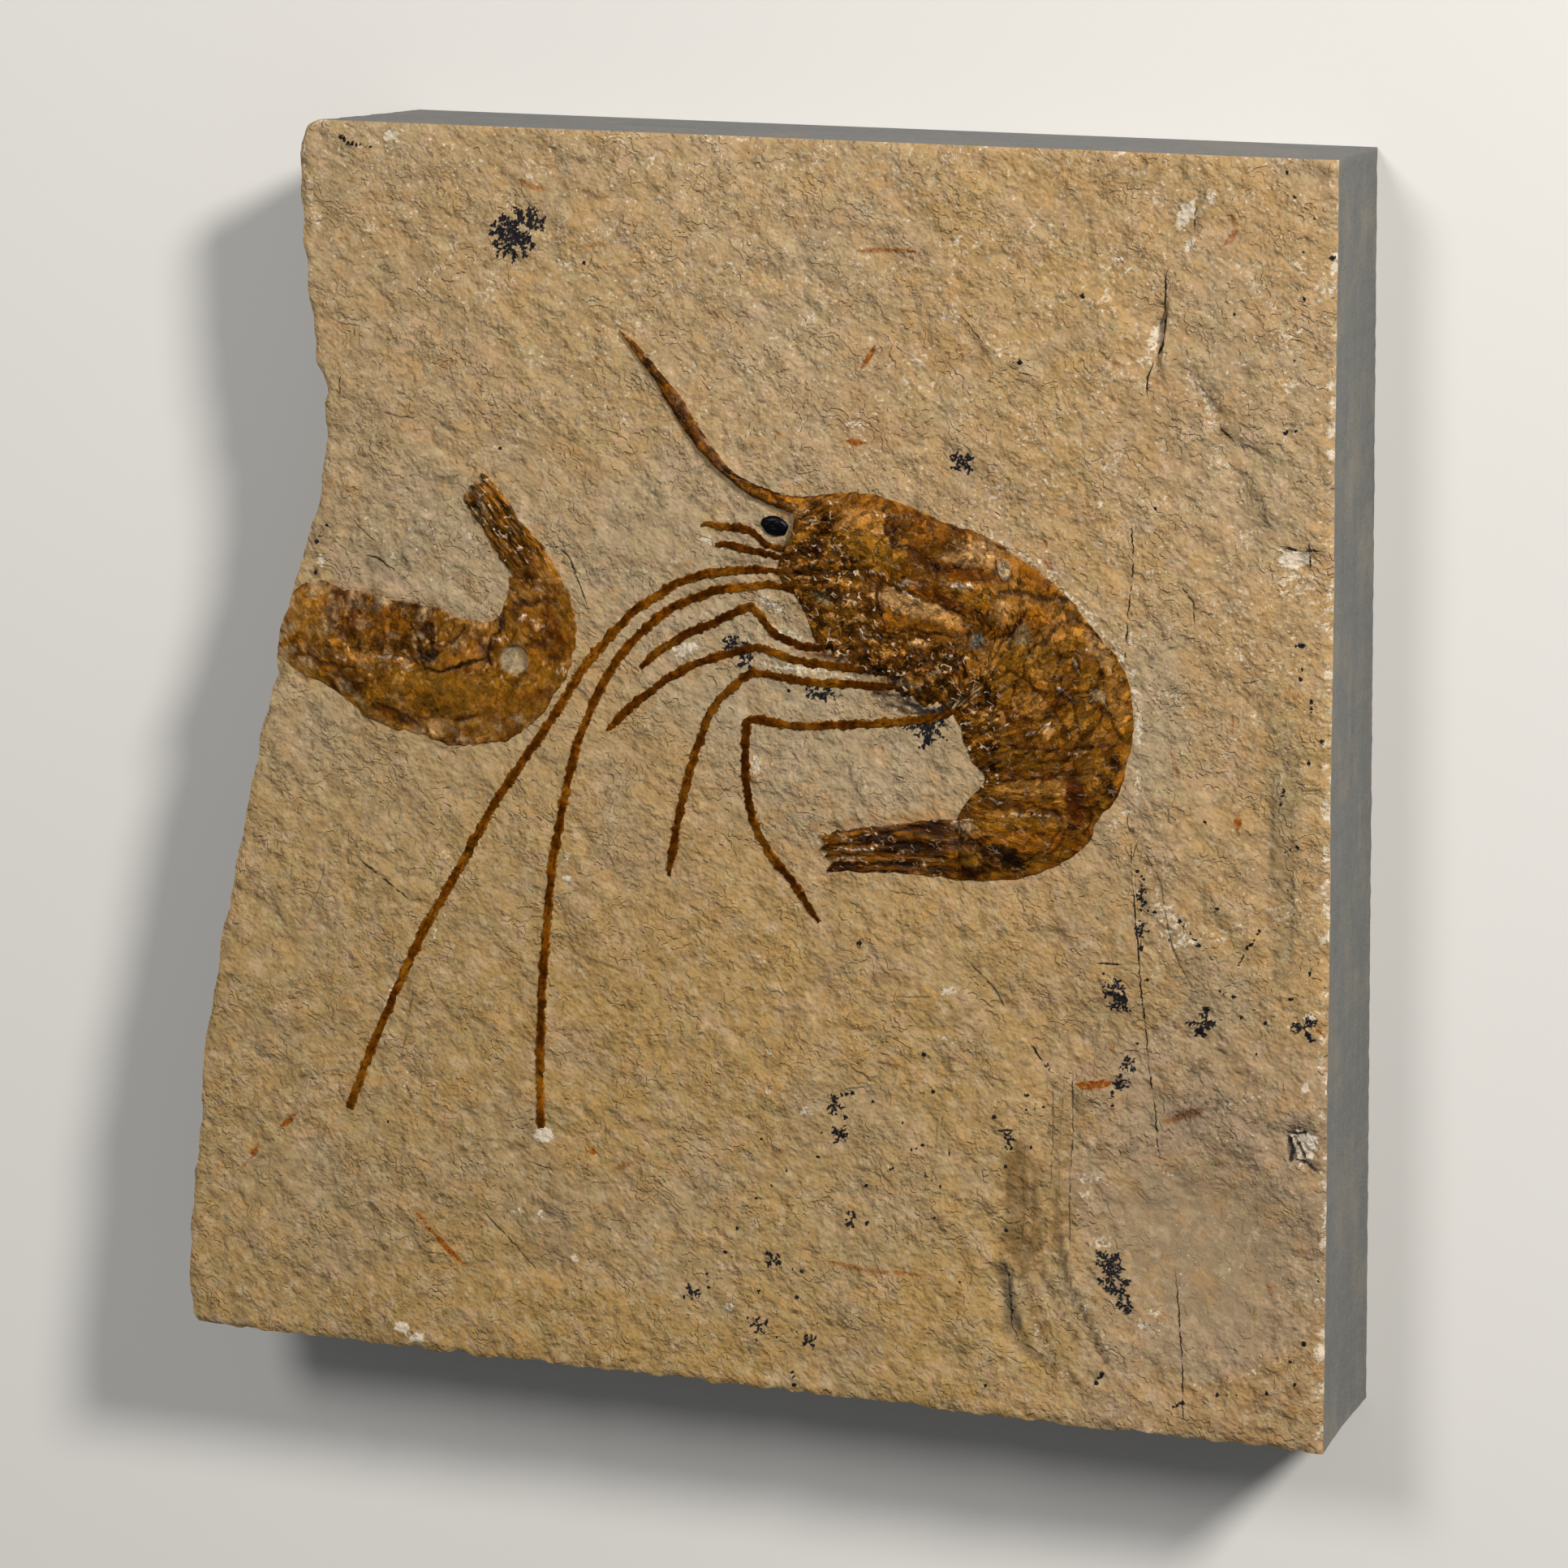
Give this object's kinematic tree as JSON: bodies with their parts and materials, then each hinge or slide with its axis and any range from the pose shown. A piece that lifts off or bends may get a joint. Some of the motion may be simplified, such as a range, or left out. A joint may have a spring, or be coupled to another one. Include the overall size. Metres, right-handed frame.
{
  "type": "fossil shrimp on limestone slab",
  "caption": "Flat sawn slab of tan limestone with a curled fossil shrimp, its legs and long antennae, and part of a second shrimp at the broken edge.",
  "frame": {"origin": "centre of the flat back, under the middle of the slab's outline", "axes": "+Z out of the fossil face, +Y up the slab towards its sawn top side, +X towards its sawn right side"},
  "size_m": [0.1248, 0.1284, 0.0167],
  "materials": {
    "limestone": "matt, fine grained, tan with ochre patches, grey where sawn",
    "shell_film": "glossy varnished brown shell with dark cracks and pale glints",
    "tail_film": "glossy dark brown, ribbed lengthwise",
    "limb_film": "satin red-brown with darker joints",
    "eye_film": "glossy black"
  },
  "bodies": {
    "root": {"limestone_slab": "limestone", "carapace": "shell_film", "abdomen": "shell_film", "tail_fan": "tail_film", "eye": "eye_film", "long_antenna_1": "limb_film", "long_antenna_2": "limb_film", "antennule_1": "limb_film", "antennule_2": "limb_film", "walking_leg_1": "limb_film", "walking_leg_2": "limb_film", "walking_leg_3": "limb_film", "walking_leg_4": "limb_film", "second_abdomen": "shell_film", "second_tail_fan": "tail_film"}
  },
  "joints": []
}
